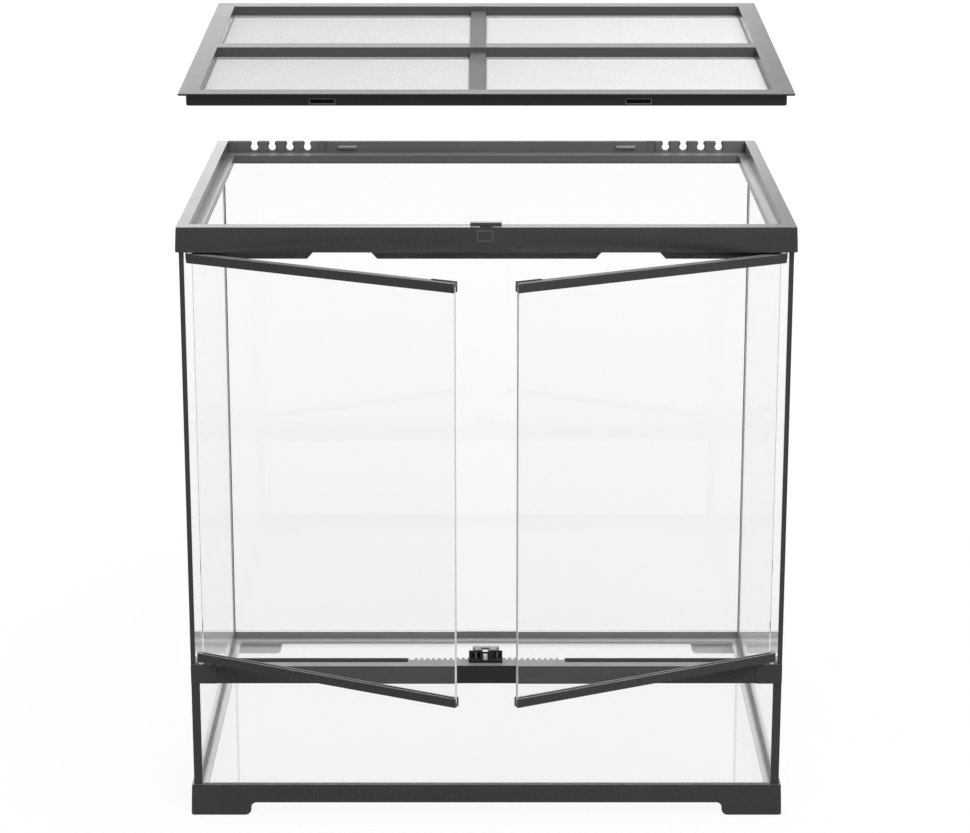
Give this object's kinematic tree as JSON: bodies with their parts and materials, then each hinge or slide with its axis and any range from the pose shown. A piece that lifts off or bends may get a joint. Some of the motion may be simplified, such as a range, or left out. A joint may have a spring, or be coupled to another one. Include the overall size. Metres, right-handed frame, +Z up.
{
  "type": "reptile terrarium",
  "caption": "Front-opening glass terrarium with twin hinged doors, vented rail, cable inlets and a lift-off screen lid.",
  "frame": {"origin": "on the ground, at the middle of the floor that the part covers as stored, with its doors ajar: 168.4 mm behind the front edge of the rim and 60.6 mm ahead of the tank's own middle", "axes": "+X to the right seen from the doors, +Y from the doors to the rear, +Z up"},
  "size_m": [0.613, 0.5822, 0.7808],
  "materials": {
    "frame_plastic": "fine satin moulding",
    "dark_plastic": "fine satin moulding",
    "tank_glass": "clear polished float glass",
    "silicone": "clear cured silicone",
    "steel": "zinc plated",
    "steel_mesh": "woven wire mesh",
    "rubber": "moulded"
  },
  "bodies": {
    "enclosure": {"base_frame": "frame_plastic", "floor_glass": "tank_glass", "left_side_glass": "tank_glass", "right_side_glass": "tank_glass", "back_glass": "tank_glass", "front_lower_glass": "tank_glass", "silicone_seals": "silicone", "left_edge_trim": "frame_plastic", "right_edge_trim": "frame_plastic", "top_frame": "frame_plastic", "vent_rail": "dark_plastic", "vent_comb": "frame_plastic", "vent_mesh": "steel_mesh", "left_hinge_block": "frame_plastic", "right_hinge_block": "frame_plastic", "lower_hinge_bushes": "steel", "upper_hinge_bushes": "steel", "latch_housing": "dark_plastic", "latch_cap": "steel", "latch_roller_pins": "steel", "latch_spring": "steel"},
    "left_door": {"left_door_glass": "tank_glass", "left_door_top_rail": "frame_plastic", "left_door_bottom_rail": "frame_plastic", "left_door_top_pin": "steel", "left_door_bottom_pin": "steel", "left_door_strike": "steel", "left_door_bumper": "rubber"},
    "right_door": {"right_door_glass": "tank_glass", "right_door_top_rail": "frame_plastic", "right_door_bottom_rail": "frame_plastic", "right_door_top_pin": "steel", "right_door_bottom_pin": "steel", "right_door_strike": "steel", "right_door_bumper": "rubber"},
    "lid": {"lid_frame": "dark_plastic", "lid_screen_front_left": "steel_mesh", "lid_screen_front_right": "steel_mesh", "lid_screen_rear_left": "steel_mesh", "lid_screen_rear_right": "steel_mesh", "lid_screen_clips": "dark_plastic"},
    "left_latch_roller": {"left_latch_roller": "steel"},
    "right_latch_roller": {"right_latch_roller": "steel"},
    "latch_lever": {"latch_lever": "steel"},
    "left_inlet_shutter": {"left_inlet_shutter": "dark_plastic"},
    "right_inlet_shutter": {"right_inlet_shutter": "dark_plastic"},
    "lid_lock": {"lid_lock": "frame_plastic"}
  },
  "joints": [
    {"name": "left_door_hinge", "type": "hinge", "parent": "enclosure", "child": "left_door", "pos_m": [-0.2924, -0.16238, 0.17], "axis": [0, 0, 1], "range_deg": [-84.6, 25.4]},
    {"name": "right_door_hinge", "type": "hinge", "parent": "enclosure", "child": "right_door", "pos_m": [0.2924, -0.16238, 0.17], "axis": [0, 0, 1], "range_deg": [-25.4, 84.6]},
    {"name": "lid_lift", "type": "hinge", "parent": "enclosure", "child": "lid", "pos_m": [0, -2.36303, 0.6258], "axis": [1, 0, 0], "range_deg": [-3.35, 3]},
    {"name": "left_roller_spin", "type": "hinge", "parent": "enclosure", "child": "left_latch_roller", "pos_m": [-0.0108, -0.15178, 0.1705], "axis": [0, 0, 1], "continuous": true},
    {"name": "right_roller_spin", "type": "hinge", "parent": "enclosure", "child": "right_latch_roller", "pos_m": [0.0108, -0.15178, 0.1705], "axis": [0, 0, 1], "continuous": true},
    {"name": "latch_lever_press", "type": "slide", "parent": "enclosure", "child": "latch_lever", "axis": [0, 1, 0], "range_m": [0, 0.003], "stiffness_N_per_m": 150, "springref_m": -0.002, "deforming": ["latch_spring"]},
    {"name": "left_shutter_slide", "type": "slide", "parent": "enclosure", "child": "left_inlet_shutter", "axis": [1, 0, 0], "range_m": [0, 0.01]},
    {"name": "right_shutter_slide", "type": "slide", "parent": "enclosure", "child": "right_inlet_shutter", "axis": [-1, 0, 0], "range_m": [0, 0.01]},
    {"name": "lid_lock_slide", "type": "slide", "parent": "enclosure", "child": "lid_lock", "axis": [0, 1, 0], "range_m": [0, 0.004]}
  ]
}
